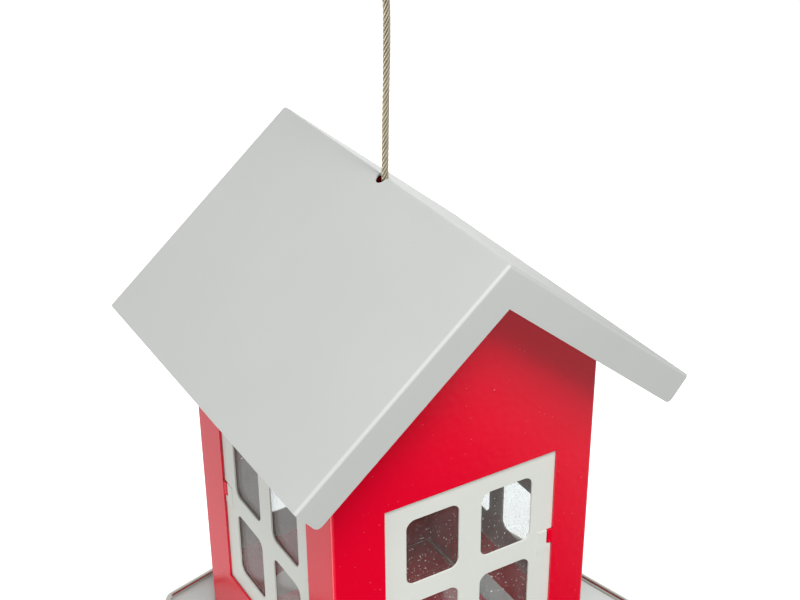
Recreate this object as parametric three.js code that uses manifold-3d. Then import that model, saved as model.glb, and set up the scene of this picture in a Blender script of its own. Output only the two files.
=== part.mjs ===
// Hanging bird feeder in the shape of a house: a folded roof that lifts along a wire rope, a four-walled
// hopper with a window in each wall, and an eight-sided tray that turns on the rope.
// Millimetres, +Z up. The origin is where the eye of the rope bears on its hook.
import * as THREE from 'three';
import { mergeVertices } from 'three/addons/utils/BufferGeometryUtils.js';
import Module from 'manifold-3d';

const wasm = await Module();
wasm.setup();

// ---- Driving dimensions. Heights are measured from the ridge, z = 0 in the house's own group ----
const GAP = 0.3;                    // between two pieces that touch
const SHEET = 1.0;                  // painted sheet steel

const ROOF_HALF_WIDTH = 95.8;       // ridge to eave, measured level
const ROOF_DROP = 80.5;             // ridge to eave, measured down
const ROOF_HALF_LENGTH = 95;
const FASCIA_DEPTH = 15.0;          // square to the slope
const ROPE_HOLE_RADIUS = 3.3;
const ROPE_HOLE_Y = 1.2;

const BODY_HALF_WIDTH = 66.8;       // along X, to the outer faces
const BODY_HALF_DEPTH = 68.7;       // along Y
const BODY_BOTTOM = -265.3;
const CORNER_BEND = 1.6;            // outer radius of the folded corners
const BEND_STEPS = 5;
const LAP = 11;                     // flange folded over the other shell's free edge

const WINDOW_CENTRE = 2.7;          // front and back ones, away from the folded corner
const SIDE_WINDOW_CENTRE = -0.4;    // left and right ones
const WINDOW_HALF_WIDTH = 44.3;
const WINDOW_TOP = -118;
const WINDOW_BOTTOM = -220;
const TAB_BOTTOM = -169.3;
const TAB_TOP = -162;
const TAB_LENGTH = 2.3;
const TAB_DIP = 0.7;                // of its tip, into the notch in the window frame
const TONGUE_BOTTOM = -174;         // raised part of the window frame, round the tab
const TONGUE_FAR = 7.7;             // reach from the opening's edge, away from the folded corner
const TONGUE_NEAR = 3.6;            // and beside that corner
const TONGUE_RAISE = 0.3;
const FEED_HALF_WIDTH = 34;
const FEED_HEIGHT = 16;

const PANEL_THICK = 0.8;            // light grey window frame, behind the wall
const PANEL_LAP = 4.5;
const LIGHT_SHIFT = -0.3;           // centre of the four lights, from the window's
const LIGHT_CENTRE_Z = -168.4;
const LIGHT_WIDTH = 27.0;
const LIGHT_HEIGHT = 34.8;
const LIGHT_PITCH_X = 38.5;
const LIGHT_PITCH_Z = 45.4;
const LIGHT_RADIUS = 4.5;
const PANE_THICK = 1.0;             // clear sheet
const PANE_LAP = 2.5;

const BAR_TOP = -68;                // bar across the hopper that the rope passes through
const BAR_HALF_WIDTH = 7;
const BAR_THICK = 1.5;
const BAR_LUG = 17;
const BAR_HOLE_RADIUS = 2.6;
const RIVET_Z = -78;
const RIVET_RADIUS = 1.5;
const RIVET_HOLE_RADIUS = 1.9;

const DEFLECTOR_HALF_WIDTH = 63;    // hipped sheet that sheds the seed towards the feed openings
const DEFLECTOR_HALF_DEPTH = 66;
const DEFLECTOR_BASE = -265.0;
const DEFLECTOR_TOP = -228;
const DEFLECTOR_FOOT = -264.9;      // trimmed flat here
const DEFLECTOR_RIM = 2.3;          // width of its foot
const DEFLECTOR_THICK = 1.3;        // measured upright
const DEFLECTOR_HOLE_RADIUS = 3.2;

const TRAY_HALF = 113.2;            // centre to each of the four longer sides
const TRAY_CORNER_REACH = 123.8;    // centre to each of the four corner cuts
const TRAY_CORNER_ANGLE = THREE.MathUtils.degToRad(52.4);
const TRAY_BEND = 5;                // corner radius
const TRAY_TOP = -265.6;
const TRAY_TURN = THREE.MathUtils.degToRad(14.4);
const DRAIN_CIRCLE = 88;
const DRAIN_RADIUS = 2.5;
const RIM_INSET = 1.2;              // wire's middle, in from the plate's edge
const RIM_WIRE_RADIUS = 1.6;
const RIM_Z = -263.7;

const WASHER_RADIUS = 12;
const WASHER_BORE_RADIUS = 2.2;
const WASHER_THICK = 1.5;
const WASHER_TOP = TRAY_TOP - SHEET - GAP;
const STOP_RADIUS = 4.5;
const STOP_BORE_RADIUS = 1.9;
const STOP_TOP = -268.7;
const STOP_BOTTOM = -277.7;

const ROPE_RADIUS = 1.55;
const ROPE_LEAN = new THREE.Vector3(0.0214, -0.0126, 1);   // above the ridge
const SLEEVE_BOTTOM = 90;
const SLEEVE_LENGTH = 12;
const SLEEVE_WIDTH = 11.2;
const SLEEVE_DEPTH = 7;
const SLEEVE_BORE_WIDTH = 8.2;      // both legs of the eye, side by side
const SLEEVE_BORE_DEPTH = 4.1;
const EYE_BEARING = 137.4;          // height of the bearing point over the ridge

const PITCH = Math.atan2(ROOF_DROP, ROOF_HALF_WIDTH);

// ---- Materials ----
const paint = (color) => new THREE.MeshStandardMaterial({ color, roughness: 0.42, metalness: 0.0 });
const greyPaint = paint(0xc6c8c5);
const redPaint = paint(0xd40a1e);
const whitePaint = paint(0xdfe2da);
const trayPaint = paint(0xc9cfcc);
const clearSheet = new THREE.MeshStandardMaterial({ color: 0xe8eeee, roughness: 0.1, metalness: 0 });
const darkPaint = paint(0x2a2828);
const steel = new THREE.MeshStandardMaterial({ color: 0xb8b4ac, roughness: 0.3, metalness: 1 });
const alloy = new THREE.MeshStandardMaterial({ color: 0xc4c4c2, roughness: 0.4, metalness: 1 });

// ---- Solids ----
function solid(geometry) {
  geometry.deleteAttribute('normal');
  geometry.deleteAttribute('uv');
  const merged = mergeVertices(geometry, 1e-4);
  return new wasm.Manifold(new wasm.Mesh({
    numProp: 3,
    vertProperties: new Float32Array(merged.attributes.position.array),
    triVerts: new Uint32Array(merged.index.array),
  }));
}

function geometryOf(body) {
  const mesh = body.getMesh();
  const geometry = new THREE.BufferGeometry();
  geometry.setAttribute('position', new THREE.BufferAttribute(new Float32Array(mesh.vertProperties), 3));
  geometry.setIndex(new THREE.BufferAttribute(new Uint32Array(mesh.triVerts), 1));
  return geometry;
}

function block(x0, x1, y0, y1, z0, z1) {
  const geometry = new THREE.BoxGeometry(x1 - x0, y1 - y0, z1 - z0);
  return geometry.translate((x0 + x1) / 2, (y0 + y1) / 2, (z0 + z1) / 2);
}

// An outline in plan, extruded upward.
function upright(shape, z0, z1, curveSegments = 6) {
  const geometry = new THREE.ExtrudeGeometry(shape, { depth: z1 - z0, bevelEnabled: false, curveSegments });
  return geometry.translate(0, 0, z0);
}

// An outline of X and Z, extruded along Y.
function across(shape, y0, y1, curveSegments = 6) {
  const geometry = new THREE.ExtrudeGeometry(shape, { depth: y1 - y0, bevelEnabled: false, curveSegments });
  return geometry.rotateX(Math.PI / 2).translate(0, y1, 0);
}

function upstanding(radius, z0, z1, x = 0, y = 0, segments = 20) {
  const geometry = new THREE.CylinderGeometry(radius, radius, z1 - z0, segments);
  return geometry.rotateX(Math.PI / 2).translate(x, y, (z0 + z1) / 2);
}

const outline = (points) => new THREE.Shape(points.map(([x, y]) => new THREE.Vector2(x, y)));

function roundedRectangle(x0, x1, y0, y1, radius) {
  const shape = new THREE.Shape();
  shape.moveTo(x0 + radius, y0);
  shape.lineTo(x1 - radius, y0);
  shape.absarc(x1 - radius, y0 + radius, radius, -Math.PI / 2, 0, false);
  shape.lineTo(x1, y1 - radius);
  shape.absarc(x1 - radius, y1 - radius, radius, 0, Math.PI / 2, false);
  shape.lineTo(x0 + radius, y1);
  shape.absarc(x0 + radius, y1 - radius, radius, Math.PI / 2, Math.PI, false);
  shape.lineTo(x0, y0 + radius);
  shape.absarc(x0 + radius, y0 + radius, radius, Math.PI, 1.5 * Math.PI, false);
  return shape;
}

// ---- Places ----
// The back and right walls stand inside the flanges of the front and left ones.
const INNER_HALF_WIDTH = BODY_HALF_WIDTH - SHEET - GAP;
const INNER_HALF_DEPTH = BODY_HALF_DEPTH - SHEET - GAP;

// A wall's own frame: X along the wall, Y inward from its outer face, Z up. away points from the folded
// corner, and centre is the middle of the window.
const WALLS = [
  { name: 'front', turn: 0, away: 1, reach: BODY_HALF_DEPTH, centre: WINDOW_CENTRE },
  { name: 'left', turn: -Math.PI / 2, away: -1, reach: BODY_HALF_WIDTH, centre: SIDE_WINDOW_CENTRE },
  { name: 'back', turn: Math.PI, away: 1, reach: INNER_HALF_DEPTH, centre: WINDOW_CENTRE },
  { name: 'right', turn: Math.PI / 2, away: -1, reach: INNER_HALF_WIDTH, centre: SIDE_WINDOW_CENTRE },
];

function onWall(wall, geometry) {
  return geometry.translate(0, -wall.reach, 0).rotateZ(wall.turn);
}

// A span measured away from the folded corner, as the wall's own X.
function span(wall, from, to) {
  return wall.away > 0 ? [from, to] : [-to, -from];
}

const house = new THREE.Group();
house.position.copy(ROPE_LEAN).multiplyScalar(-EYE_BEARING);
const tray = new THREE.Group();
tray.rotation.z = TRAY_TURN;
house.add(tray);

function add(parent, name, geometry, material) {
  const mesh = new THREE.Mesh(geometry, material);
  mesh.name = name;
  parent.add(mesh);
}

// ---- Roof: one sheet folded at the ridge, with a fascia folded down at each gable ----
function chevron(depth) {
  const inX = ROOF_HALF_WIDTH - depth * Math.sin(PITCH);
  const inZ = -ROOF_DROP - depth * Math.cos(PITCH);
  return outline([
    [0, 0], [-ROOF_HALF_WIDTH, -ROOF_DROP], [-inX, inZ],
    [0, -depth / Math.cos(PITCH)], [inX, inZ], [ROOF_HALF_WIDTH, -ROOF_DROP],
  ]);
}

function roof() {
  const slopes = solid(across(chevron(SHEET), -ROOF_HALF_LENGTH, ROOF_HALF_LENGTH));
  const near = solid(across(chevron(FASCIA_DEPTH), -ROOF_HALF_LENGTH, SHEET - ROOF_HALF_LENGTH));
  const far = solid(across(chevron(FASCIA_DEPTH), ROOF_HALF_LENGTH - SHEET, ROOF_HALF_LENGTH));
  const hole = solid(upstanding(ROPE_HOLE_RADIUS, -8, 4, 0, ROPE_HOLE_Y));
  return geometryOf(slopes.add(near).add(far).subtract(hole));
}

// ---- Walls: two folded shells. The front and left one laps over the other one's edges at each end ----
// A strip of sheet in plan, folded at each point but the first and the last, which follow its outer face.
function foldedStrip(points) {
  const outer = [];
  const inner = [];
  const sharp = points.map(([x, y]) => new THREE.Vector2(x, y));
  const heading = (i) => sharp[i + 1].clone().sub(sharp[i]).normalize();
  const inward = (v) => new THREE.Vector2(-v.y, v.x).multiplyScalar(SHEET);
  sharp.forEach((p, i) => {
    if (i === 0 || i === sharp.length - 1) {
      const side = inward(heading(Math.min(i, sharp.length - 2)));
      outer.push(p);
      inner.push(p.clone().add(side));
      return;
    }
    const before = heading(i - 1);
    const after = heading(i);
    const centre = p.clone().addScaledVector(before, -CORNER_BEND).addScaledVector(after, CORNER_BEND);
    for (let k = 0; k <= BEND_STEPS; k += 1) {
      const angle = Math.PI / 2 * k / BEND_STEPS;
      const spoke = after.clone().multiplyScalar(-Math.cos(angle)).addScaledVector(before, Math.sin(angle));
      outer.push(centre.clone().addScaledVector(spoke, CORNER_BEND));
      inner.push(centre.clone().addScaledVector(spoke, CORNER_BEND - SHEET));
    }
  });
  return new THREE.Shape([...outer, ...inner.reverse()]);
}

function frontLeftPlan() {
  const [w, d] = [BODY_HALF_WIDTH, BODY_HALF_DEPTH];
  return foldedStrip([[-w + LAP, d], [-w, d], [-w, -d], [w, -d], [w, -d + LAP]]);
}

function backRightPlan() {
  const [w, d] = [INNER_HALF_WIDTH, INNER_HALF_DEPTH];
  const edge = SHEET + 2 * GAP;
  return foldedStrip([[w, -BODY_HALF_DEPTH + edge], [w, d], [-BODY_HALF_WIDTH + edge, d]]);
}

// Everything below the roof's slopes.
function underRoof() {
  const clear = (SHEET + GAP) / Math.cos(PITCH);
  const side = ROOF_HALF_WIDTH;
  return across(outline([
    [0, -clear], [-side, -ROOF_DROP - clear], [-side, -300], [side, -300], [side, -ROOF_DROP - clear],
  ]), -ROOF_HALF_LENGTH, ROOF_HALF_LENGTH);
}

// A tab of the wall at the far side of the opening, bent in through the window frame's notch.
function tab(wall) {
  const edge = wall.centre + WINDOW_HALF_WIDTH;
  const corners = [[edge + 0.5, 0.1], [edge + 0.5, SHEET - 0.1], [edge - TAB_LENGTH, TAB_DIP + SHEET - 0.1],
    [edge - TAB_LENGTH, TAB_DIP]];
  return onWall(wall, upright(outline(corners.map(([x, y]) => [wall.away * x, y])), TAB_BOTTOM, TAB_TOP));
}

function feedOpening(wall) {
  const shape = roundedRectangle(-FEED_HALF_WIDTH, FEED_HALF_WIDTH, BODY_BOTTOM - 10,
    BODY_BOTTOM + FEED_HEIGHT, 8);
  return onWall(wall, across(shape, -3, 3));
}

function windowCut(wall) {
  const [x0, x1] = span(wall, wall.centre - WINDOW_HALF_WIDTH, wall.centre + WINDOW_HALF_WIDTH);
  return onWall(wall, block(x0, x1, -3, 3, WINDOW_BOTTOM, WINDOW_TOP));
}

function shell(plan, walls) {
  let body = solid(upright(plan, BODY_BOTTOM, 0)).intersect(solid(underRoof()));
  for (const wall of walls) {
    body = body.subtract(solid(windowCut(wall))).subtract(solid(feedOpening(wall))).add(solid(tab(wall)));
  }
  return geometryOf(body.subtract(solid(rivetHole())));
}

// ---- Windows ----
function windowFrame(wall) {
  const edge = wall.centre + WINDOW_HALF_WIDTH;
  const reach = WINDOW_HALF_WIDTH + PANEL_LAP;
  const [x0, x1] = span(wall, wall.centre - reach, wall.centre + reach);
  const shape = roundedRectangle(x0, x1, WINDOW_BOTTOM - PANEL_LAP, WINDOW_TOP + PANEL_LAP, 2);
  for (const column of [-1, 1]) {
    for (const row of [-1, 1]) {
      const x = wall.away * (wall.centre + LIGHT_SHIFT) + column * LIGHT_PITCH_X / 2;
      const z = LIGHT_CENTRE_Z + row * LIGHT_PITCH_Z / 2;
      shape.holes.push(roundedRectangle(x - LIGHT_WIDTH / 2, x + LIGHT_WIDTH / 2,
        z - LIGHT_HEIGHT / 2, z + LIGHT_HEIGHT / 2, LIGHT_RADIUS));
    }
  }
  const notch = span(wall, edge - TAB_LENGTH - GAP, edge + 2);
  const front = SHEET + GAP;
  const tongues = [span(wall, edge - TONGUE_FAR, edge - GAP)];
  if (wall.away < 0) {
    const near = wall.centre - WINDOW_HALF_WIDTH;
    tongues.push(span(wall, near + GAP, near + TONGUE_NEAR));
  }
  let frame = solid(across(shape, front, front + PANEL_THICK));
  for (const [t0, t1] of tongues) {
    const tongue = block(t0, t1, front - TONGUE_RAISE, front + PANEL_THICK / 2, TONGUE_BOTTOM, TAB_TOP);
    frame = frame.add(solid(tongue));
  }
  const cut = block(...notch, 0, front + 2 * PANEL_THICK, TAB_BOTTOM - GAP, TAB_TOP + GAP);
  return onWall(wall, geometryOf(frame.subtract(solid(cut))));
}

function windowPane(wall) {
  const front = SHEET + 2 * GAP + PANEL_THICK;
  const reach = WINDOW_HALF_WIDTH + PANE_LAP;
  const [x0, x1] = span(wall, wall.centre - reach, wall.centre + reach);
  return onWall(wall, block(x0, x1, front, front + PANE_THICK,
    WINDOW_BOTTOM - PANE_LAP, WINDOW_TOP + PANE_LAP));
}

// ---- Inside the hopper ----
function hip(halfWidth, halfDepth, base, apex) {
  const geometry = new THREE.ConeGeometry(Math.SQRT2, apex - base, 4);
  return geometry.rotateX(Math.PI / 2).rotateZ(Math.PI / 4).scale(halfWidth, halfDepth, 1)
    .translate(0, 0, (apex + base) / 2);
}

function seedDeflector() {
  const [w, d] = [DEFLECTOR_HALF_WIDTH, DEFLECTOR_HALF_DEPTH];
  const outer = solid(hip(w, d, DEFLECTOR_BASE, DEFLECTOR_TOP));
  const inner = solid(hip(w - DEFLECTOR_RIM, d - DEFLECTOR_RIM, DEFLECTOR_BASE - 0.1,
    DEFLECTOR_TOP - DEFLECTOR_THICK));
  const foot = solid(block(-2 * w, 2 * w, -2 * d, 2 * d, DEFLECTOR_BASE - 10, DEFLECTOR_FOOT));
  const hole = solid(upstanding(DEFLECTOR_HOLE_RADIUS, DEFLECTOR_TOP - 20, DEFLECTOR_TOP + 10));
  return geometryOf(outer.subtract(inner).subtract(foot).subtract(hole));
}

function ropeBar() {
  const ends = [-BODY_HALF_WIDTH, INNER_HALF_WIDTH].map((x) => x - Math.sign(x) * (SHEET + GAP));
  const rail = solid(block(...ends, -BAR_HALF_WIDTH, BAR_HALF_WIDTH, BAR_TOP - BAR_THICK, BAR_TOP));
  let bar = rail.subtract(solid(upstanding(BAR_HOLE_RADIUS, BAR_TOP - 5, BAR_TOP + 5)));
  for (const x0 of [ends[0], ends[1] - BAR_THICK]) {
    bar = bar.add(solid(block(x0, x0 + BAR_THICK, -BAR_HALF_WIDTH, BAR_HALF_WIDTH,
      BAR_TOP - BAR_LUG, BAR_TOP)));
  }
  return geometryOf(bar.subtract(solid(rivetHole())));
}

// One drill through both side walls and both lugs.
function rivetHole() {
  const drill = new THREE.CylinderGeometry(RIVET_HOLE_RADIUS, RIVET_HOLE_RADIUS, 4 * BODY_HALF_WIDTH, 16);
  return drill.rotateZ(Math.PI / 2).translate(0, 0, RIVET_Z);
}

// Radius and depth into the wall, from the domed head to the upset tail.
function rivet(side, reach) {
  const grip = SHEET + GAP + BAR_THICK + 2 * GAP;
  const profile = [[0, -1.3], [1.6, -1.1], [2.8, -0.5], [3.1, 0], [RIVET_RADIUS, 0], [RIVET_RADIUS, grip],
    [2.6, grip], [2.2, grip + 0.9], [0, grip + 1.1]];
  const geometry = new THREE.LatheGeometry(profile.map(([r, y]) => new THREE.Vector2(r, y)), 16);
  return geometry.rotateZ(side * Math.PI / 2).translate(side * (reach + GAP), 0, RIVET_Z);
}

// ---- Tray ----
// The tray's eight-sided outline, drawn in by an inset, with rounded corners.
function octagon(inset, cornerRadius) {
  const sides = [];
  for (let quarter = 0; quarter < 4; quarter += 1) {
    const cut = quarter % 2 ? Math.PI / 2 - TRAY_CORNER_ANGLE : TRAY_CORNER_ANGLE;
    sides.push([quarter * Math.PI / 2, TRAY_HALF], [quarter * Math.PI / 2 + cut, TRAY_CORNER_REACH]);
  }
  const shape = new THREE.Shape();
  sides.forEach(([angle, reach], i) => {
    const [nextAngle, nextReach] = i < 7 ? sides[i + 1] : [2 * Math.PI, TRAY_HALF];
    const [r0, r1] = [reach - inset - cornerRadius, nextReach - inset - cornerRadius];
    const turn = Math.sin(nextAngle - angle);
    const x = (r0 * Math.sin(nextAngle) - r1 * Math.sin(angle)) / turn;
    const y = (r1 * Math.cos(angle) - r0 * Math.cos(nextAngle)) / turn;
    shape.absarc(x, y, cornerRadius, angle, nextAngle, false);
  });
  shape.closePath();
  return shape;
}

function trayPlate() {
  const shape = octagon(0, TRAY_BEND);
  const holes = [[0, 0]];
  for (let i = 0; i < 8; i += 1) {
    const angle = (i + 0.5) * Math.PI / 4;
    holes.push([DRAIN_CIRCLE * Math.cos(angle), DRAIN_CIRCLE * Math.sin(angle)]);
  }
  for (const [x, y] of holes) {
    shape.holes.push(new THREE.Path().absarc(x, y, DRAIN_RADIUS, 0, 2 * Math.PI, true));
  }
  return upright(shape, TRAY_TOP - SHEET, TRAY_TOP, 4);
}

function rimWire() {
  const sides = 10;
  const rings = [];
  for (const { x, y } of octagon(RIM_INSET, TRAY_BEND).extractPoints(5).shape) {
    rings.push(new THREE.Vector2(x, y));
  }
  const path = rings.filter((p, i) => p.distanceTo(rings[(i + 1) % rings.length]) > 0.01);
  const positions = [];
  const index = [];
  path.forEach((p, i) => {
    const before = path[(i + path.length - 1) % path.length];
    const after = path[(i + 1) % path.length];
    const along = after.clone().sub(p).normalize().add(p.clone().sub(before).normalize()).normalize();
    const out = new THREE.Vector2(along.y, -along.x);
    for (let k = 0; k < sides; k += 1) {
      const angle = 2 * Math.PI * k / sides;
      const r = RIM_WIRE_RADIUS * Math.cos(angle);
      positions.push(p.x + out.x * r, p.y + out.y * r, RIM_Z + RIM_WIRE_RADIUS * Math.sin(angle));
      const [a, b] = [i * sides + k, i * sides + (k + 1) % sides];
      const next = (((i + 1) % path.length) - i) * sides;
      index.push(a, a + next, b + next, a, b + next, b);
    }
  });
  const geometry = new THREE.BufferGeometry();
  geometry.setAttribute('position', new THREE.Float32BufferAttribute(positions, 3));
  geometry.setIndex(index);
  return geometry;
}

function ring(outer, inner, z0, z1) {
  const shape = new THREE.Shape().absarc(0, 0, outer, 0, 2 * Math.PI, false);
  shape.holes.push(new THREE.Path().absarc(0, 0, inner, 0, 2 * Math.PI, true));
  return upright(shape, z0, z1, 24);
}

// ---- Rope ----
// The route of the wire rope: up through the house, through the sleeve, round the eye and back down.
const ROPE_ROUTE = [
  [0, 0, -280.7], [0, 0, -240], [0, 0, -200], [0, 0, -160], [0, 0, -120], [0, 0, -80], [0, 0, -40],
  [0, 0, -8], [0.4, -0.25, 20], [0.85, -0.5, 40], [1.25, -0.75, 60], [1.2, -0.92, 74], [0.35, -1.1, 88],
  [0.32, -1.2, 95], [0.45, -1.3, 102], [-1.4, -1.37, 108], [-6.4, -1.42, 114.5], [-9.7, -1.53, 121],
  [-9.8, -1.62, 128.5], [-6.0, -1.7, 135.5], [0.6, -1.75, 139.2], [3.2, -1.76, 139.5],
  [9.6, -1.72, 136.9], [14.6, -1.65, 131], [15.6, -1.56, 123.5], [13.2, -1.47, 116.5],
  [7.6, -1.4, 109.5], [4.2, -1.3, 102], [3.85, -1.2, 95], [3.7, -1.1, 87.5],
];

function rope() {
  const path = new THREE.CatmullRomCurve3(ROPE_ROUTE.map((p) => new THREE.Vector3(...p)));
  const section = new THREE.Shape();
  for (let k = 0; k < 8; k += 1) {
    const angle = (k + 0.5) * Math.PI / 4;
    const corner = [ROPE_RADIUS * Math.cos(angle), ROPE_RADIUS * Math.sin(angle)];
    if (k === 0) section.moveTo(...corner);
    else section.lineTo(...corner);
  }
  section.closePath();
  return new THREE.ExtrudeGeometry(section, { steps: 80, bevelEnabled: false, extrudePath: path });
}

// A crimped sleeve of oval section round both legs of the eye.
function eyeSleeve() {
  const oval = (wide, deep) => roundedRectangle(-wide / 2, wide / 2, -deep / 2, deep / 2, deep / 2 - 0.01);
  const shape = oval(SLEEVE_WIDTH, SLEEVE_DEPTH);
  shape.holes.push(oval(SLEEVE_BORE_WIDTH, SLEEVE_BORE_DEPTH));
  const lean = new THREE.Matrix4().makeShear(0, 0, 0, 0, ROPE_LEAN.x, ROPE_LEAN.y);
  return upright(shape, SLEEVE_BOTTOM, SLEEVE_BOTTOM + SLEEVE_LENGTH).applyMatrix4(lean);
}

// ---- Assembly ----
add(house, 'roof', roof(), greyPaint);
add(house, 'house_shell_front_left', shell(frontLeftPlan(), WALLS.slice(0, 2)), redPaint);
add(house, 'house_shell_back_right', shell(backRightPlan(), WALLS.slice(2)), redPaint);
for (const wall of WALLS) {
  add(house, `window_frame_${wall.name}`, windowFrame(wall), whitePaint);
  add(house, `window_pane_${wall.name}`, windowPane(wall), clearSheet);
}
add(house, 'seed_deflector', seedDeflector(), redPaint);
add(house, 'rope_bar', ropeBar(), darkPaint);
add(house, 'rope_bar_rivet_left', rivet(-1, BODY_HALF_WIDTH), alloy);
add(house, 'rope_bar_rivet_right', rivet(1, INNER_HALF_WIDTH), alloy);
add(tray, 'tray', trayPlate(), trayPaint);
add(tray, 'tray_rim_wire', rimWire(), steel);
const washer = ring(WASHER_RADIUS, WASHER_BORE_RADIUS, WASHER_TOP - WASHER_THICK, WASHER_TOP);
add(house, 'tray_washer', washer, alloy);
add(house, 'rope_end_stop', ring(STOP_RADIUS, STOP_BORE_RADIUS, STOP_BOTTOM, STOP_TOP), alloy);
add(house, 'hanging_rope', rope(), steel);
add(house, 'eye_sleeve', eyeSleeve(), alloy);

const group = new THREE.Group();
group.add(house);
export default group;
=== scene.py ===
import math

import bmesh
import bpy
from mathutils import Matrix, Vector


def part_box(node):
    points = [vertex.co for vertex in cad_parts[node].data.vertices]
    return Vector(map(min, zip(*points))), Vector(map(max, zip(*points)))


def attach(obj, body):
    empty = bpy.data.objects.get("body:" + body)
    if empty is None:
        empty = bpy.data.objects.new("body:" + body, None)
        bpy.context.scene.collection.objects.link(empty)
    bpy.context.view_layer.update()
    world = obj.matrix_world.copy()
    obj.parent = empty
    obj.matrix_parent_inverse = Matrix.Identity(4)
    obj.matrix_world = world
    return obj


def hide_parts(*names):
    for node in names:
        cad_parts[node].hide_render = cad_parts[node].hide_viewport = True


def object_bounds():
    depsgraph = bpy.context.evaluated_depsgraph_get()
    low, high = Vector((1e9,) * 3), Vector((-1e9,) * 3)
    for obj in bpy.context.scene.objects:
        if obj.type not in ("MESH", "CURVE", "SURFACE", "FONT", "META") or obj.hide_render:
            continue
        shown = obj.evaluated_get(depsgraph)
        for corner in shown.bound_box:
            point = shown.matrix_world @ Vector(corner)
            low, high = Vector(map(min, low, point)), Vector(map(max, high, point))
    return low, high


MM = 0.001

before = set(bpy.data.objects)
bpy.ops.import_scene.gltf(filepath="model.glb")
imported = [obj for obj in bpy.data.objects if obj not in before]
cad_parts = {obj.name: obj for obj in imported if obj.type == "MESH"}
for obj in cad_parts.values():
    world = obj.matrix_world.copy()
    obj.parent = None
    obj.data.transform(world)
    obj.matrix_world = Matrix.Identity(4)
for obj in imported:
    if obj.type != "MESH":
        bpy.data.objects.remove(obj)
cad_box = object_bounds()

# ---- Driving sizes, in metres. The rest comes from the frame ----
ROOF_LOW, ROOF_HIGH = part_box("roof")
RIDGE = Vector(((ROOF_LOW.x + ROOF_HIGH.x) / 2, (ROOF_LOW.y + ROOF_HIGH.y) / 2, ROOF_HIGH.z))
ROOF_HALF_WIDTH = (ROOF_HIGH.x - ROOF_LOW.x) / 2
ROOF_HALF_LENGTH = (ROOF_HIGH.y - ROOF_LOW.y) / 2
ROOF_DROP = 80.5 * MM
PITCH = math.atan2(ROOF_DROP, ROOF_HALF_WIDTH)
FASCIA_DEPTH = (ROOF_HIGH.z - ROOF_LOW.z - ROOF_DROP) / math.cos(PITCH)
SHEET = 1.0 * MM
FOLD_RADIUS = 1.5 * MM
FASCIA_CORNER = 2.6 * MM
ROPE_HOLE_RADIUS = 3.3 * MM
ROPE_HOLE_Y = 1.2 * MM

TRAY_HALF = 113.2 * MM
TRAY_CORNER_REACH = 123.8 * MM
TRAY_CORNER_ANGLE = math.radians(52.4)
TRAY_BEND = 5 * MM
TRAY_TURN = math.radians(14.4)
RIM_INSET = 1.2 * MM
RIM_RADIUS = 1.6 * MM
RIM_STEPS = 24                              # along each straight side
RIM_WELD_SIDE = Vector((0.25, 0.97, 0))     # the back, where the wire's ends meet

SLEEVE_WIDTH, SLEEVE_DEPTH = 11.2 * MM, 7.0 * MM
SLEEVE_BORE_WIDTH, SLEEVE_BORE_DEPTH = 7.6 * MM, 3.6 * MM
STOP_BORE_RADIUS = 1.9 * MM
WASHER_BORE_RADIUS = 2.2 * MM
RIVET_HEAD_RADIUS, RIVET_HEAD_HEIGHT = 3.1 * MM, 1.3 * MM
RIVET_SHANK_RADIUS = 1.5 * MM
RIVET_TAIL_HEIGHT = 1.1 * MM

CAMERA_AZIMUTH, CAMERA_ELEVATION, CAMERA_ROLL = -30.53, 29.08, -0.41    # degrees
CAMERA_LENS = 66.74
CAMERA_DISTANCE = 0.6323                    # from the ridge's middle
CAMERA_RIGHT, CAMERA_DOWN = 0.0065, 0.0530

BACKDROP = 1.2                              # strength of the white that the camera sees
ROOM = 0.98                                 # of the white room that glossy surfaces see
AMBIENT = 0.33                              # of the light that it gives the paint
DARK_CORNER = (0.166, -0.621, -0.766)       # direction of the room's dark corner
DARK_CORNER_EDGE = (0.902, 0.946)           # cosines off it, where it begins and is full
FLOOR_DROP = 0.30                           # floor under the lowest piece
FLOOR_GLOW = 0.75

# Name, place from the middle of the part, size and power.
LIGHTS = [
    ("key", (-0.30, -1.22, 1.6), 1.0, 49),
    ("left", (-1.5, 0.3, 0.9), 1.4, 5),
    ("left_bounce", (-1.5, -0.1, -0.8), 1.0, 11),
    ("back", (0.9, 1.5, 0.0), 1.2, 6),
    ("front_fill", (-0.5, -1.6, -0.3), 1.2, 5),
]

ROPE_DIAMETER = 3.1 * MM
ROPE_LAY = 15.5 * MM
WIRE_LAY = 7 * MM
STRANDS = 6
WIRES = 6                                   # round each strand
STRAND_SHARE = 0.335                        # of the rope's radius
CORE_SHARE = 0.34
WIRE_RIDGE = 0.09                           # height of a wire's ridge, of its strand's radius
ROPE_LEAN = Vector((0.0214, -0.0126, 1.0))

SPLINE_STEPS = 24                           # between two points of a route
TINY = 1e-9

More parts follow.
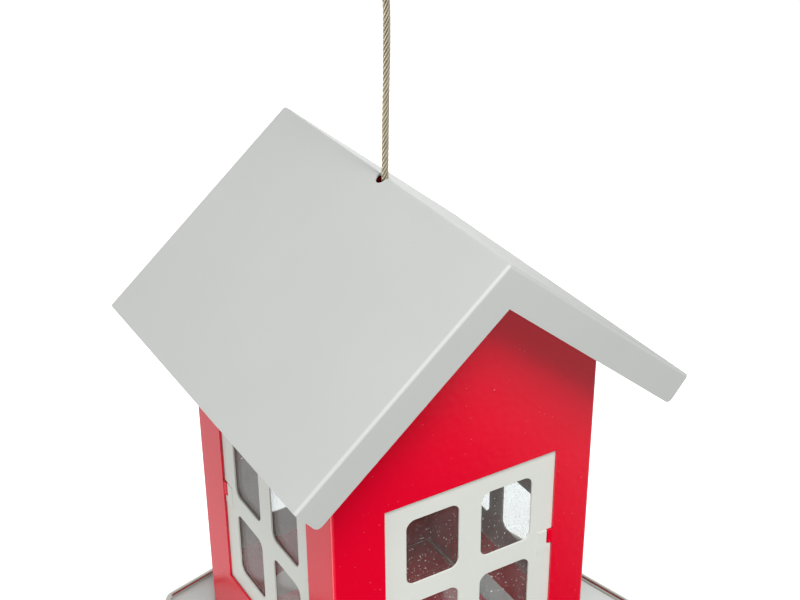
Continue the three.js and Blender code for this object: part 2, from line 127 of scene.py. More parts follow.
# The rope's route from its cut end under the tray, up through the house and round
# the eye, measured from the ridge.
ROPE_ROUTE = [
    (0, 0, -0.2807), (0, 0, -0.240), (0, 0, -0.200), (0, 0, -0.160), (0, 0, -0.120), (0, 0, -0.080),
    (0, 0, -0.040), (0, 0, -0.008), (0.0004, -0.00025, 0.020), (0.00085, -0.0005, 0.040),
    (0.00125, -0.00075, 0.060), (0.0012, -0.00092, 0.074), (0.00035, -0.0011, 0.088),
    (0.00032, -0.0012, 0.095), (0.00045, -0.0013, 0.102), (-0.0014, -0.00137, 0.108),
    (-0.0064, -0.00142, 0.1145), (-0.0097, -0.00153, 0.121), (-0.0098, -0.00162, 0.1285),
    (-0.0060, -0.0017, 0.1355), (0.0006, -0.00175, 0.1392), (0.0032, -0.00176, 0.1395),
    (0.0096, -0.00172, 0.1369), (0.0146, -0.00165, 0.131), (0.0156, -0.00156, 0.1235),
    (0.0132, -0.00147, 0.1165), (0.0076, -0.0014, 0.1095), (0.0042, -0.0013, 0.102),
    (0.00385, -0.0012, 0.095), (0.0037, -0.0011, 0.0875),
]


# ---- Camera ----
def place_camera():
    azimuth = math.radians(CAMERA_AZIMUTH)
    elevation = math.radians(CAMERA_ELEVATION)
    roll = math.radians(CAMERA_ROLL)
    back = Vector((math.sin(azimuth) * math.cos(elevation),
                   -math.cos(azimuth) * math.cos(elevation), math.sin(elevation)))
    level = Vector((math.cos(azimuth), math.sin(azimuth), 0))
    rise = back.cross(level)
    right = math.cos(roll) * level + math.sin(roll) * rise
    up = math.cos(roll) * rise - math.sin(roll) * level
    data = bpy.data.cameras.new("camera")
    data.sensor_width = 36
    data.lens = CAMERA_LENS
    data.clip_start, data.clip_end = 0.01, 50
    camera = bpy.data.objects.new("camera", data)
    axes = Matrix((right, up, back)).transposed().to_4x4()
    place = RIDGE + back * CAMERA_DISTANCE + right * CAMERA_RIGHT - up * CAMERA_DOWN
    camera.matrix_world = Matrix.Translation(place) @ axes
    bpy.context.scene.collection.objects.link(camera)
    bpy.context.scene.camera = camera


# ---- Node trees ----
class Shader:
    """A material and a few short ways to add nodes to it."""

    def __init__(self, name):
        self.material = bpy.data.materials.new(name)
        self.material.use_nodes = True
        self.tree = self.material.node_tree
        self.tree.nodes.clear()
        self.output = self.tree.nodes.new("ShaderNodeOutputMaterial")
        self.place = self.node("ShaderNodeTexCoord").outputs["Object"]

    def node(self, kind, inputs=None, **settings):
        made = self.tree.nodes.new(kind)
        for key, value in settings.items():
            setattr(made, key, value)
        for key, value in (inputs or {}).items():
            self.feed(made.inputs[key], value)
        return made

    def feed(self, socket, value):
        if isinstance(value, bpy.types.NodeSocket):
            self.tree.links.new(value, socket)
        else:
            socket.default_value = value

    def noise(self, scale, detail=2.0, roughness=0.5, place=None):
        made = self.node("ShaderNodeTexNoise", {"Vector": place or self.place, "Scale": scale,
                                                "Detail": detail, "Roughness": roughness})
        return made.outputs["Fac"]

    def stretched(self, scale):
        made = self.node("ShaderNodeMapping", {"Vector": self.place, "Scale": scale})
        return made.outputs["Vector"]

    def span(self, value, low, high, to_low=0.0, to_high=1.0):
        made = self.node("ShaderNodeMapRange", {"Value": value, "From Min": low, "From Max": high,
                                                "To Min": to_low, "To Max": to_high})
        return made.outputs["Result"]

    def maths(self, operation, a, b):
        made = self.node("ShaderNodeMath", {0: a, 1: b}, operation=operation)
        return made.outputs["Value"]

    def blend(self, share, a, b):
        made = self.node("ShaderNodeMix", data_type="RGBA")
        for name, value in (("Factor_Float", share), ("A_Color", a), ("B_Color", b)):
            socket = next(s for s in made.inputs if s.identifier == name)
            self.feed(socket, value)
        return next(s for s in made.outputs if s.identifier == "Result_Color")

    def bump(self, height, distance, strength=1.0, normal=None):
        inputs = {"Height": height, "Distance": distance, "Strength": strength}
        if normal is not None:
            inputs["Normal"] = normal
        return self.node("ShaderNodeBump", inputs).outputs["Normal"]

    def specks(self, scale, size, share):
        """Round specks of about size of a cell, on this share of the cells."""
        cells = self.node("ShaderNodeTexVoronoi",
                          {"Vector": self.place, "Scale": scale, "Randomness": 1.0})
        dot = self.span(cells.outputs["Distance"], size * 0.5, size, 1.0, 0.0)
        parts = self.node("ShaderNodeSeparateColor", {"Color": cells.outputs["Color"]})
        chosen = self.maths("LESS_THAN", parts.outputs["Red"], share)
        return self.maths("MULTIPLY", dot, chosen)

    def surface(self, inputs):
        made = self.node("ShaderNodeBsdfPrincipled", inputs)
        self.tree.links.new(made.outputs["BSDF"], self.output.inputs["Surface"])
        return made


def rgb(red, green, blue):
    """A colour from its 0 to 255 screen values."""
    def linear(value):
        share = value / 255
        return share / 12.92 if share <= 0.04045 else ((share + 0.055) / 1.055) ** 2.4
    return (linear(red), linear(green), linear(blue), 1.0)


def paint(name, colour, deep, dust, roughness, peel, speck_share, gloss):
    """Baked powder coat: soft unevenness, orange peel, a fine grain and a few specks of dust."""
    s = Shader(name)
    uneven = s.noise(16, 3, 0.55)
    grain = s.noise(1700, 2, 0.6)
    base = s.blend(s.span(uneven, 0.35, 0.7), colour, deep)
    base = s.blend(s.maths("MULTIPLY", s.span(grain, 0.3, 0.75), 0.5), base, deep)
    fine = s.specks(420, 0.10, speck_share)
    coarse = s.specks(120, 0.05, speck_share * 0.8)
    dusty = s.maths("MAXIMUM", fine, coarse)
    base = s.blend(s.maths("MULTIPLY", dusty, 0.5), base, dust)
    rough = s.maths("ADD", s.span(grain, 0.3, 0.75, roughness - 0.04, roughness + 0.06),
                    s.maths("MULTIPLY", dusty, 0.25))
    swell = s.bump(s.noise(26, 1), 0.5 * MM, 0.35)
    skin = s.bump(s.noise(330, 1.5, 0.4), 0.05 * MM, peel, swell)
    normal = s.bump(grain, 0.004 * MM, 0.5, skin)
    s.surface({"Base Color": base, "Roughness": rough, "Normal": normal, "Coat Weight": gloss,
               "Coat Roughness": 0.12, "Specular IOR Level": 0.4})
    return s.material


def metal(name, colour, deep, roughness, along=(1, 1, 1), tarnish=0.5, painted_groove_shade=False):
    """Bare metal with drawing marks and a little tarnish. A rope gets painted shade in its grooves,
    darker towards its middle.
    """
    s = Shader(name)
    marks = s.noise(900, 3, 0.6, s.stretched(along))
    cloud = s.noise(140, 3, 0.6)
    base = s.blend(s.maths("MULTIPLY", s.span(cloud, 0.35, 0.7), tarnish), colour, deep)
    if painted_groove_shade:
        reach = s.node("ShaderNodeAttribute", attribute_name="reach").outputs["Fac"]
        # painted shade: the rope's colour darkens towards its middle, where the grooves lie in
        # shade
        base = s.blend(s.span(reach, 0.70, 0.97), rgb(38, 32, 24), base)
    rough = s.maths("ADD", s.span(marks, 0.3, 0.7, roughness - 0.06, roughness + 0.08),
                    s.span(cloud, 0.4, 0.8, 0.0, 0.1))
    normal = s.bump(marks, 0.01 * MM, 0.6)
    s.surface({"Base Color": base, "Metallic": 1.0, "Roughness": rough, "Normal": normal})
    return s.material


def clear_sheet(name):
    """Clear plastic film with a thin veil of dust, a few specks and faint wipe marks."""
    s = Shader(name)
    wipe = s.noise(60, 3, 0.6, s.stretched((1, 1, 0.25)))
    cloud = s.noise(28, 3, 0.6)
    dots = s.maths("MAXIMUM", s.specks(800, 0.26, 0.22), s.specks(380, 0.17, 0.30))
    dots = s.maths("MAXIMUM", dots, s.specks(170, 0.10, 0.35))
    dusty = s.maths("MULTIPLY", dots, s.span(cloud, 0.3, 0.65, 0.22, 0.75))
    veil = s.maths("ADD", s.span(cloud, 0.3, 0.75, 0.022, 0.05), s.span(wipe, 0.5, 0.8, 0.0, 0.03))
    cover = s.maths("MAXIMUM", veil, dusty)
    normal = s.bump(s.noise(22, 1), 0.5 * MM, 0.3)
    veiled = s.node("ShaderNodeBsdfDiffuse", {"Color": rgb(226, 228, 224), "Normal": normal})
    through = s.node("ShaderNodeBsdfTransparent", {"Color": (0.905, 0.92, 0.92, 1.0)})
    shine = s.node("ShaderNodeBsdfGlossy",
                   {"Color": (1, 1, 1, 1), "Roughness": 0.08, "Normal": normal})
    body = s.node("ShaderNodeMixShader", {0: cover, 1: through.outputs[0], 2: veiled.outputs[0]})
    facing = s.node("ShaderNodeLayerWeight", {"Blend": 0.5, "Normal": normal}).outputs["Facing"]
    grazing = s.span(s.maths("POWER", facing, 5.0), 0.0, 1.0, 0.02, 0.8)
    whole = s.node("ShaderNodeMixShader", {0: grazing, 1: body.outputs[0], 2: shine.outputs[0]})
    s.tree.links.new(whole.outputs[0], s.output.inputs["Surface"])
    return s.material


def make_materials():
    return {
        "roof": paint("roof_paint", rgb(184, 186, 183), rgb(181, 183, 180), rgb(212, 212, 208),
                      0.46, 0.35, 0.05, 0.05),
        "wall": paint("wall_paint", rgb(226, 0, 42), rgb(219, 0, 38), rgb(240, 160, 165),
                      0.16, 0.9, 0.2, 0.0),
        "window": paint("window_paint", rgb(215, 218, 211), rgb(210, 213, 206), rgb(228, 228, 224),
                        0.42, 0.4, 0.05, 0.1),
        # painted shade: the bar is near-black so the rope hole in the roof reads dark, like the
        # shaded inside of the house
        "bar": paint("bar_paint", rgb(30, 29, 29), rgb(24, 23, 23), rgb(90, 88, 86),
                     0.4, 0.4, 0.1, 0.1),
        "tray": paint("tray_paint", rgb(205, 212, 209), rgb(199, 206, 203), rgb(216, 218, 216),
                      0.42, 0.4, 0.08, 0.1),
        "pane": clear_sheet("clear_sheet"),
        "wire": metal("bright_wire", rgb(214, 212, 205), rgb(176, 172, 164), 0.16, (1, 1, 1), 0.3),
        # the rope's last argument, True, turns on painted shade in its grooves
        "rope": metal("rope_steel", rgb(196, 186, 163), rgb(150, 139, 116), 0.34, (1, 1, 0.2), 0.6,
                      True),
        "alloy": metal("crimp_alloy", rgb(200, 200, 198), rgb(160, 160, 158), 0.34),
        "zinc": metal("zinc_plate", rgb(190, 192, 194), rgb(150, 152, 150), 0.38),
    }


# ---- Mesh helpers ----
def new_object(name, mesh, material, body, *nodes):
    made = bpy.data.objects.new(name, mesh)
    bpy.context.scene.collection.objects.link(made)
    mesh.materials.clear()
    mesh.materials.append(material)
    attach(made, body)
    if nodes:
        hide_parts(*nodes)
    return made


def mesh_of(name, bm):
    bmesh.ops.recalc_face_normals(bm, faces=bm.faces)
    mesh = bpy.data.meshes.new(name)
    bm.to_mesh(mesh)
    bm.free()
    return mesh


def smooth(mesh, angle=34):
    mesh.shade_smooth()
    mesh.set_sharp_from_angle(angle=math.radians(angle))


def apply_modifiers(made):
    bpy.context.view_layer.update()
    graph = bpy.context.evaluated_depsgraph_get()
    done = bpy.data.meshes.new_from_object(made.evaluated_get(graph), depsgraph=graph)
    made.modifiers.clear()
    old = made.data
    made.data = done
    bpy.data.meshes.remove(old)


def soften(made, width, segments=2, angle=40):
    """Rounds the sheet's edges and evens the shading of its flats."""
    bevel = made.modifiers.new("edges", "BEVEL")
    bevel.width, bevel.segments = width, segments
    bevel.limit_method, bevel.angle_limit = "ANGLE", math.radians(angle)
    bevel.use_clamp_overlap = True
    bevel.miter_outer = "MITER_ARC"
    apply_modifiers(made)
    smooth(made.data)
    even = made.modifiers.new("even", "WEIGHTED_NORMAL")
    even.keep_sharp = True
    apply_modifiers(made)


def refined(node, material, body, width=0.25 * MM, segments=2, dissolve=True):
    """The CAD node's own shape with clean flats and rounded edges."""
    bm = bmesh.new()
    bm.from_mesh(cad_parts[node].data)
    bmesh.ops.remove_doubles(bm, verts=bm.verts, dist=1e-6)
    if dissolve:
        bmesh.ops.dissolve_limit(bm, angle_limit=math.radians(1.0), verts=bm.verts, edges=bm.edges)
    made = new_object(node + "_fine", mesh_of(node + "_fine", bm), material, body, node)
    soften(made, width, segments)
    return made


def lathe(profile, place, axis, steps=40, section=None):
    """A turned piece. profile is (radius, height) pairs, closed round the ring or ending
    on the axis."""
    bm = bmesh.new()
    rings = []
    for radius, height in profile:
        if radius < TINY:
            rings.append([bm.verts.new((0, 0, height))] * steps)
            continue
        ring = []
        for k in range(steps):
            angle = 2 * math.pi * k / steps
            if section:
                x, y = section(angle, radius, height)
            else:
                x, y = radius * math.cos(angle), radius * math.sin(angle)
            ring.append(bm.verts.new((x, y, height)))
        rings.append(ring)
    closed = profile[0][0] > TINY
    for i in range(len(rings) - (0 if closed else 1)):
        low, high = rings[i], rings[(i + 1) % len(rings)]
        for k in range(steps):
            corners = [low[k], low[(k + 1) % steps], high[(k + 1) % steps], high[k]]
            bm.faces.new(list(dict.fromkeys(corners)))
    turn = Vector((0, 0, 1)).rotation_difference(axis).to_matrix().to_4x4()
    bmesh.ops.transform(bm, matrix=Matrix.Translation(place) @ turn, verts=bm.verts)
    return bm


# ---- Curves ----
def through(points, step):
    """Points step apart on a centripetal Catmull-Rom curve."""
    points = [Vector(p) for p in points]
    ends = [2 * points[0] - points[1], *points, 2 * points[-1] - points[-2]]
    dense = []
    for p0, p1, p2, p3 in zip(ends, ends[1:], ends[2:], ends[3:]):
        t0 = 0.0
        t1 = t0 + math.sqrt((p1 - p0).length)
        t2 = t1 + math.sqrt((p2 - p1).length)
        t3 = t2 + math.sqrt((p3 - p2).length)
        for k in range(SPLINE_STEPS):
            t = t1 + (t2 - t1) * k / SPLINE_STEPS
            a1 = (p0 * (t1 - t) + p1 * (t - t0)) / (t1 - t0)
            a2 = (p1 * (t2 - t) + p2 * (t - t1)) / (t2 - t1)
            a3 = (p2 * (t3 - t) + p3 * (t - t2)) / (t3 - t2)
            b1 = (a1 * (t2 - t) + a2 * (t - t0)) / (t2 - t0)
            b2 = (a2 * (t3 - t) + a3 * (t - t1)) / (t3 - t1)
            dense.append((b1 * (t2 - t) + b2 * (t - t1)) / (t2 - t1))
    dense.append(points[-1])
    return spaced(dense, step)


def line_length(points):
    return sum((b - a).length for a, b in zip(points, points[1:]))


def spaced(points, step):
    total = line_length(points)
    count = max(2, round(total / step))
    made, walked, i = [points[0].copy()], 0.0, 0
    for k in range(1, count):
        target = total * k / count
        while walked + (points[i + 1] - points[i]).length < target:
            walked += (points[i + 1] - points[i]).length
            i += 1
        share = (target - walked) / (points[i + 1] - points[i]).length
        made.append(points[i].lerp(points[i + 1], share))
    made.append(points[-1].copy())
    return made


def carried_frames(points, side=Vector((1, 0, 0))):
    """(side, other side) at each point, carried along without twist."""
    frames = []
    for i, _ in enumerate(points):
        along = (points[min(i + 1, len(points) - 1)] - points[max(i - 1, 0)]).normalized()
        side = (side - along * side.dot(along)).normalized()
        frames.append((side.copy(), along.cross(side)))
    return frames


def tube(bm, points, frames, section, closed=False):
    """Sweeps section(i), a list of (side, other side) offsets, along the points."""
    rings = []
    for i, (point, (a, b)) in enumerate(zip(points, frames)):
        rings.append([bm.verts.new(point + a * x + b * y) for x, y in section(i)])
    count = len(rings[0])
    for i in range(len(rings) if closed else len(rings) - 1):
        low, high = rings[i], rings[(i + 1) % len(rings)]
        for k in range(count):
            bm.faces.new((low[k], low[(k + 1) % count], high[(k + 1) % count], high[k]))
    if not closed:
        bm.faces.new(list(reversed(rings[0])))
        bm.faces.new(rings[-1])


# ---- Rope ----
def wire_rope(material):
    """Six strands laid round a core, each with the ridges of its own six wires."""
    radius = ROPE_DIAMETER / 2
    strand = radius * STRAND_SHARE
    step = 0.8 * MM
    centre = through([RIDGE + Vector(p) for p in ROPE_ROUTE], step)
    frames = carried_frames(centre)
    bm = bmesh.new()
    sides = 12

    def lobed(size, turn):
        points = []
        for k in range(sides):
            angle = 2 * math.pi * k / sides
            reach = size * (1 + WIRE_RIDGE * math.cos(WIRES * angle))
            points.append((reach * math.cos(angle + turn), reach * math.sin(angle + turn)))
        return points

    tube(bm, centre, frames, lambda i: lobed(radius * CORE_SHARE, 0.0))
    for n in range(STRANDS):
        line = []
        for i, (point, (a, b)) in enumerate(zip(centre, frames)):
            angle = 2 * math.pi * (n / STRANDS + i * step / ROPE_LAY)
            line.append(point + (a * math.cos(angle) + b * math.sin(angle)) * (radius - strand))
        tube(bm, line, carried_frames(line),
             lambda i: lobed(strand, -2 * math.pi * i * step / WIRE_LAY))
    mesh = mesh_of("wire_rope", bm)
    smooth(mesh, 60)
    # reach: each point's distance from the rope's middle, which drives the rope's painted groove
    # shade
    reach = mesh.attributes.new("reach", "FLOAT", "POINT")
    for vertex in mesh.vertices:
        middle = centre[vertex.index // sides % len(centre)]
        reach.data[vertex.index].value = (vertex.co - middle).length / radius
    made = new_object("wire_rope", mesh, material, "house", "hanging_rope")
    return made, centre[:: max(1, round(2 * MM / step))] + [centre[-1]]


def foot_middle(low, high):
    return Vector(((low.x + high.x) / 2, (low.y + high.y) / 2, low.z))


def stadium(angle, wide, deep):
    """A point of an oval with flat sides, in its own plane."""
    flat = (wide - deep) / 2
    x, y = deep / 2 * math.cos(angle), deep / 2 * math.sin(angle)
    spread = min(1, abs(math.cos(angle)) * 3)
    return x + math.copysign(flat, math.cos(angle)) * spread, y


def eye_sleeve(material):
    """A crimped sleeve of oval section, pinched twice, round both legs of the eye."""
    low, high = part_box("eye_sleeve")
    tall = high.z - low.z
    bm = bmesh.new()
    steps = 56
    heights = [0, 0.02, 0.06, 0.16, 0.22, 0.30, 0.38, 0.44,
               0.56, 0.62, 0.70, 0.78, 0.84, 0.94, 0.98, 1]
    rings = []
    for share in heights:
        rounding = 0.92 if share in (0, 1) else (0.975 if share in (0.02, 0.98) else 1)
        nearest = min(abs(share - 0.30), abs(share - 0.70))
        pinch = 0.86 if nearest < 0.02 else (0.9 if nearest < 0.09 else 1)
        wide, deep = SLEEVE_WIDTH * rounding, SLEEVE_DEPTH * rounding * pinch
        rings.append([stadium(2 * math.pi * k / steps, wide, deep) for k in range(steps)])
    bore = [stadium(2 * math.pi * k / steps, SLEEVE_BORE_WIDTH, SLEEVE_BORE_DEPTH)
            for k in range(steps)]
    levels = list(zip(heights, rings)) + [(1, bore), (0, bore)]
    lean = Vector((ROPE_LEAN.x, ROPE_LEAN.y, 0))
    base = foot_middle(low, high) - lean * tall / 2
    verts = [[bm.verts.new(base + lean * tall * share + Vector((x, y, tall * share)))
              for x, y in ring] for share, ring in levels]
    for i, lower in enumerate(verts):
        upper = verts[(i + 1) % len(verts)]
        for k in range(steps):
            bm.faces.new((lower[k], lower[(k + 1) % steps], upper[(k + 1) % steps], upper[k]))
    mesh = mesh_of("eye_sleeve_crimped", bm)
    smooth(mesh, 50)
    return new_object("eye_sleeve_crimped", mesh, material, "house", "eye_sleeve")


def end_stop(material):
    """A round ferrule, crimped in flutes about its middle."""
    low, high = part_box("rope_end_stop")
    tall = high.z - low.z
    outer = (high.x - low.x) / 2
    profile = [(STOP_BORE_RADIUS, 0), (outer * 0.9, 0), (outer, 0.5 * MM), (outer, 0.25 * tall),
               (outer * 0.97, 0.32 * tall), (outer * 0.97, 0.68 * tall), (outer, 0.75 * tall),
               (outer, tall - 0.5 * MM), (outer * 0.9, tall), (STOP_BORE_RADIUS, tall)]

    def crimped(angle, radius, height):
        squeezed = 0.3 * tall < height < 0.7 * tall and radius > outer / 2
        flute = 0.07 * (0.5 + 0.5 * math.cos(6 * angle)) if squeezed else 0
        reach = radius * (1 - flute)
        return reach * math.cos(angle), reach * math.sin(angle)

    turned = lathe(profile, foot_middle(low, high), Vector((0, 0, 1)), 48, crimped)
    mesh = mesh_of("end_stop_crimped", turned)
    smooth(mesh, 40)
    return new_object("end_stop_crimped", mesh, material, "house", "rope_end_stop")


def washer(material):
    low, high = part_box("tray_washer")
    outer, tall, edge = (high.x - low.x) / 2, high.z - low.z, 0.3 * MM
    bore, lip = WASHER_BORE_RADIUS, 2.5 * MM
    profile = [(bore, edge), (lip, 0), (outer - edge, 0), (outer, edge), (outer, tall - edge),
               (outer - edge, tall), (lip, tall), (bore, tall - edge)]
    turned = lathe(profile, foot_middle(low, high), Vector((0, 0, 1)), 64)
    mesh = mesh_of("tray_washer_fine", turned)
    smooth(mesh, 40)
    return new_object("tray_washer_fine", mesh, material, "house", "tray_washer")


def rivet(side, material):
    node = f"rope_bar_rivet_{side}"
    low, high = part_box(node)
    outward = Vector((-1 if side == "left" else 1, 0, 0))
    length = high.x - low.x
    grip = length - 2.4 * MM
    head, rise, tail = RIVET_HEAD_RADIUS, RIVET_HEAD_HEIGHT, RIVET_TAIL_HEIGHT
    turns = [math.pi / 2 * k / 8 for k in range(8)]
    dome = [(head * math.cos(t), length - rise + rise * math.sin(t)) for t in turns]
    profile = [(0, 0), (1.6 * MM, 0.1 * MM), (2.4 * MM, 0.5 * MM), (2.6 * MM, tail),
               (RIVET_SHANK_RADIUS, tail), (RIVET_SHANK_RADIUS, tail + grip), *dome, (0, length)]
    inner_x = high.x if side == "left" else low.x
    place = Vector((inner_x, (low.y + high.y) / 2, (low.z + high.z) / 2))
    mesh = mesh_of(node + "_domed", lathe(profile, place, outward, 40))
    smooth(mesh, 40)
    return new_object(node + "_domed", mesh, material, "house", node)


# ---- Roof ----
def roof_sheet(material):
    """One sheet: two slopes folded at the ridge, and a fascia folded down at each gable."""
    w, d, half = ROOF_HALF_WIDTH, ROOF_DROP, ROOF_HALF_LENGTH
    in_x = w - FASCIA_DEPTH * math.sin(PITCH)
    in_z = -d - FASCIA_DEPTH * math.cos(PITCH)
    bm = bmesh.new()
    ends = []
    for y in (-half, half):
        points = {"ridge": (0, y, 0), "apex": (0, y, -FASCIA_DEPTH / math.cos(PITCH))}
        for side, sign in (("left", -1), ("right", 1)):
            points["eave_" + side] = (sign * w, y, -d)
        end = {key: bm.verts.new(RIDGE + Vector(p)) for key, p in points.items()}
        for side, sign in (("left", -1), ("right", 1)):
            down = Vector((-sign * math.sin(PITCH), 0, -math.cos(PITCH)))
            inward = Vector((-sign * math.cos(PITCH), 0, math.sin(PITCH)))
            middle = RIDGE + Vector((sign * in_x, y, in_z)) + (inward - down) * FASCIA_CORNER
            foot = []
            for k in range(7):
                turn = math.pi / 2 * k / 6
                spoke = down * math.sin(turn) - inward * math.cos(turn)
                foot.append(bm.verts.new(middle + spoke * FASCIA_CORNER))
            end["foot_" + side] = foot
        ends.append(end)
    near, far = ends
    bm.faces.new((near["ridge"], far["ridge"], far["eave_left"], near["eave_left"]))
    bm.faces.new((near["ridge"], near["eave_right"], far["eave_right"], far["ridge"]))
    for end, sign in ((near, 1), (far, -1)):
        for side in ("left", "right"):
            loop = [end["ridge"], end["eave_" + side], *end["foot_" + side], end["apex"]]
            bm.faces.new(loop if (side == "left") == (sign > 0) else loop[::-1])
    bm.normal_update()
    folds = [e for e in bm.edges if len(e.link_faces) == 2 and e.calc_face_angle(0) > 0.2]
    bmesh.ops.bevel(bm, geom=folds, offset=FOLD_RADIUS, segments=5, profile=0.5,
                    affect="EDGES", offset_type="OFFSET")
    made = new_object("roof_sheet", mesh_of("roof_sheet", bm), material, "roof", "roof")
    thick = made.modifiers.new("thick", "SOLIDIFY")
    thick.thickness, thick.offset = SHEET, -1
    thick.use_even_offset = True
    drill = cutter(ROPE_HOLE_RADIUS, RIDGE + Vector((0, ROPE_HOLE_Y, 0)), 12 * MM)
    cut = made.modifiers.new("hole", "BOOLEAN")
    cut.object, cut.operation, cut.solver = drill, "DIFFERENCE", "EXACT"
    apply_modifiers(made)
    bpy.data.objects.remove(drill)
    soften(made, 0.28 * MM, 3)
    return made


def cutter(radius, place, length):
    bm = bmesh.new()
    bmesh.ops.create_cone(bm, cap_ends=True, segments=64, radius1=radius, radius2=radius,
                          depth=length, matrix=Matrix.Translation(place))
    mesh = mesh_of("cutter", bm)
    made = bpy.data.objects.new("cutter", mesh)
    bpy.context.scene.collection.objects.link(made)
    return made


# ---- Tray rim ----
def rim_wire(material):
    """A drawn wire bent round the tray's eight corners, its ends butt-welded at the back."""
    low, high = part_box("tray_rim_wire")
    centre, radius = (low + high) / 2, RIM_RADIUS
    sides = []
    for quarter in range(4):
        square = quarter * math.pi / 2
        cut = math.pi / 2 - TRAY_CORNER_ANGLE if quarter % 2 else TRAY_CORNER_ANGLE
        sides += [(square, TRAY_HALF), (square + cut, TRAY_CORNER_REACH)]
    corners = []
    for i, (angle, reach) in enumerate(sides):
        following, far_reach = sides[i + 1] if i < 7 else (2 * math.pi, TRAY_HALF)
        r0, r1 = reach - RIM_INSET - TRAY_BEND, far_reach - RIM_INSET - TRAY_BEND
        spread = math.sin(following - angle)
        x = (r0 * math.sin(following) - r1 * math.sin(angle)) / spread
        y = (r1 * math.cos(angle) - r0 * math.cos(following)) / spread
        for k in range(11):
            spoke = angle + (following - angle) * k / 10
            corners.append(Vector((x + TRAY_BEND * math.cos(spoke),
                                   y + TRAY_BEND * math.sin(spoke), 0)))
    turned = Matrix.Rotation(TRAY_TURN, 4, "Z")
    line = []
    for i, corner in enumerate(corners):
        line.append(centre + turned @ corner)
        ahead = corners[(i + 1) % len(corners)]
        if (ahead - corner).length > 4 * TRAY_BEND:
            line += [centre + turned @ corner.lerp(ahead, k / RIM_STEPS)
                     for k in range(1, RIM_STEPS)]
    frames = []
    for i, point in enumerate(line):
        along = (line[(i + 1) % len(line)] - line[i - 1]).normalized()
        out = along.cross(Vector((0, 0, 1)))
        frames.append((out, Vector((0, 0, 1))))
    weld = max(line, key=lambda p: (p - centre).dot(RIM_WELD_SIDE))

    def section(i):
        bead = 0.10 * MM * math.exp(-((line[i] - weld).length / (1.2 * MM)) ** 2)
        return [((radius + bead) * math.cos(2 * math.pi * k / 20),
                 (radius + bead) * math.sin(2 * math.pi * k / 20)) for k in range(20)]

    bm = bmesh.new()
    tube(bm, line, frames, section, closed=True)
    mesh = mesh_of("rim_wire_drawn", bm)
    smooth(mesh, 60)
    return new_object("rim_wire_drawn", mesh, material, "tray", "tray_rim_wire")


# ---- Stage ----
def area_light(name, place, target, size, power):
    data = bpy.data.lights.new(name, "AREA")
    data.shape, data.size, data.energy = "SQUARE", size, power
    made = bpy.data.objects.new(name, data)
    made.location = place
    made.rotation_mode = "QUATERNION"
    made.rotation_quaternion = (target - place).to_track_quat("-Z", "Y")
    bpy.context.scene.collection.objects.link(made)


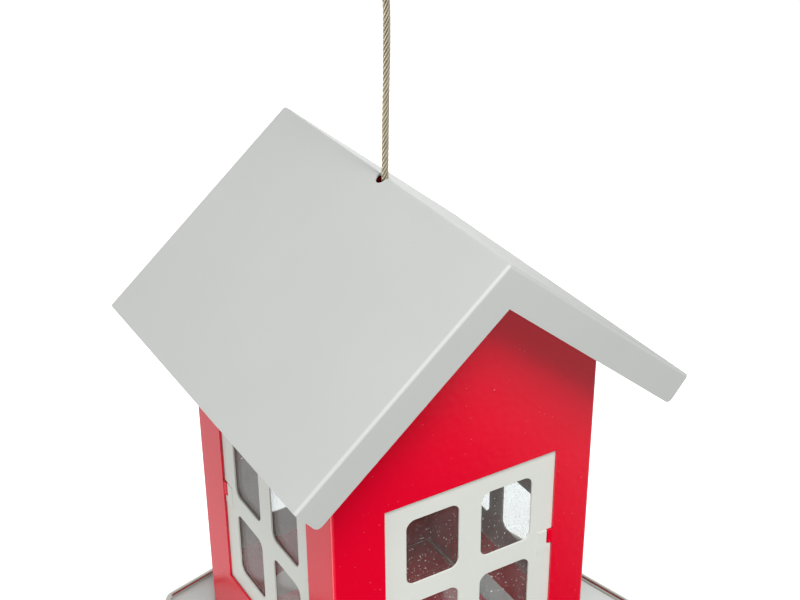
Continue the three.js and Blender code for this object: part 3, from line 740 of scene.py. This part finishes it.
def soft_room():
    """A white room, dim where it lights paint. Glossy surfaces also see its dark corner,
    low and to the front."""
    world = bpy.data.worlds.new("soft_room")
    world.use_nodes = True
    world.cycles.sampling_method = "NONE"
    tree = world.node_tree
    tree.nodes.clear()

    def node(kind, **settings):
        made = tree.nodes.new(kind)
        for key, value in settings.items():
            setattr(made, key, value)
        return made

    def pick(flag, when, otherwise):
        made = node("ShaderNodeMix", data_type="FLOAT")
        tree.links.new(ray.outputs[flag], made.inputs[0])
        for socket, value in ((made.inputs[3], when), (made.inputs[2], otherwise)):
            if isinstance(value, float):
                socket.default_value = value
            else:
                tree.links.new(value, socket)
        return made.outputs[0]

    ray = node("ShaderNodeLightPath")
    towards = node("ShaderNodeVectorMath", operation="DOT_PRODUCT")
    tree.links.new(node("ShaderNodeTexCoord").outputs["Generated"], towards.inputs[0])
    towards.inputs[1].default_value = Vector(DARK_CORNER).normalized()
    dim = node("ShaderNodeMapRange", interpolation_type="SMOOTHSTEP")
    tree.links.new(towards.outputs["Value"], dim.inputs["Value"])
    begins, full = DARK_CORNER_EDGE
    for name, value in (("From Min", begins), ("From Max", full),
                        ("To Min", ROOM), ("To Max", 0.0)):
        dim.inputs[name].default_value = value
    sky = node("ShaderNodeBackground")
    others = pick("Is Glossy Ray", dim.outputs["Result"], AMBIENT)
    strength = pick("Is Camera Ray", BACKDROP, others)
    tree.links.new(strength, sky.inputs["Strength"])
    tree.links.new(sky.outputs[0], node("ShaderNodeOutputWorld").inputs["Surface"])
    return world


def studio():
    scene = bpy.context.scene
    scene.view_settings.view_transform = "Standard"
    scene.world = soft_room()
    middle = (cad_box[0] + cad_box[1]) / 2
    bm = bmesh.new()
    bmesh.ops.create_grid(bm, x_segments=8, y_segments=8, size=6)
    bmesh.ops.translate(bm, vec=(middle.x, middle.y, cad_box[0].z - FLOOR_DROP), verts=bm.verts)
    mesh = mesh_of("floor", bm)
    s = Shader("floor_white")
    tone = s.blend(s.noise(3, 2), (0.93, 0.93, 0.93, 1), (0.95, 0.95, 0.95, 1))
    s.surface({"Base Color": tone, "Roughness": 0.9, "Specular IOR Level": 0.1,
               "Emission Color": (1, 1, 1, 1), "Emission Strength": FLOOR_GLOW})
    mesh.materials.append(s.material)
    floor = bpy.data.objects.new("floor", mesh)
    scene.collection.objects.link(floor)
    floor.visible_glossy = floor.visible_diffuse = floor.visible_shadow = False
    for name, offset, size, power in LIGHTS:
        area_light(name, middle + Vector(offset), middle, size, power)


# ---- Assembly ----
place_camera()
materials = make_materials()
rope, rope_path = wire_rope(materials["rope"])
sleeve = eye_sleeve(materials["alloy"])
roof_sheet(materials["roof"])
for shell in ("house_shell_front_left", "house_shell_back_right"):
    refined(shell, materials["wall"], "house", 0.28 * MM, 3, False)
for wall in ("front", "left", "back", "right"):
    refined(f"window_frame_{wall}", materials["window"], "house", 0.2 * MM, 2, False)
    refined(f"window_pane_{wall}", materials["pane"], "house", 0.15 * MM)
refined("seed_deflector", materials["wall"], "house", 0.3 * MM)
# the bar's near-black paint is painted shade for the dark inside seen through the rope hole
refined("rope_bar", materials["bar"], "house", 0.5 * MM, 3)
refined("tray", materials["tray"], "tray", 0.3 * MM, 3)
rim_wire(materials["wire"])
end_stop(materials["alloy"])
washer(materials["zinc"])
for side in ("left", "right"):
    rivet(side, materials["alloy"])
studio()
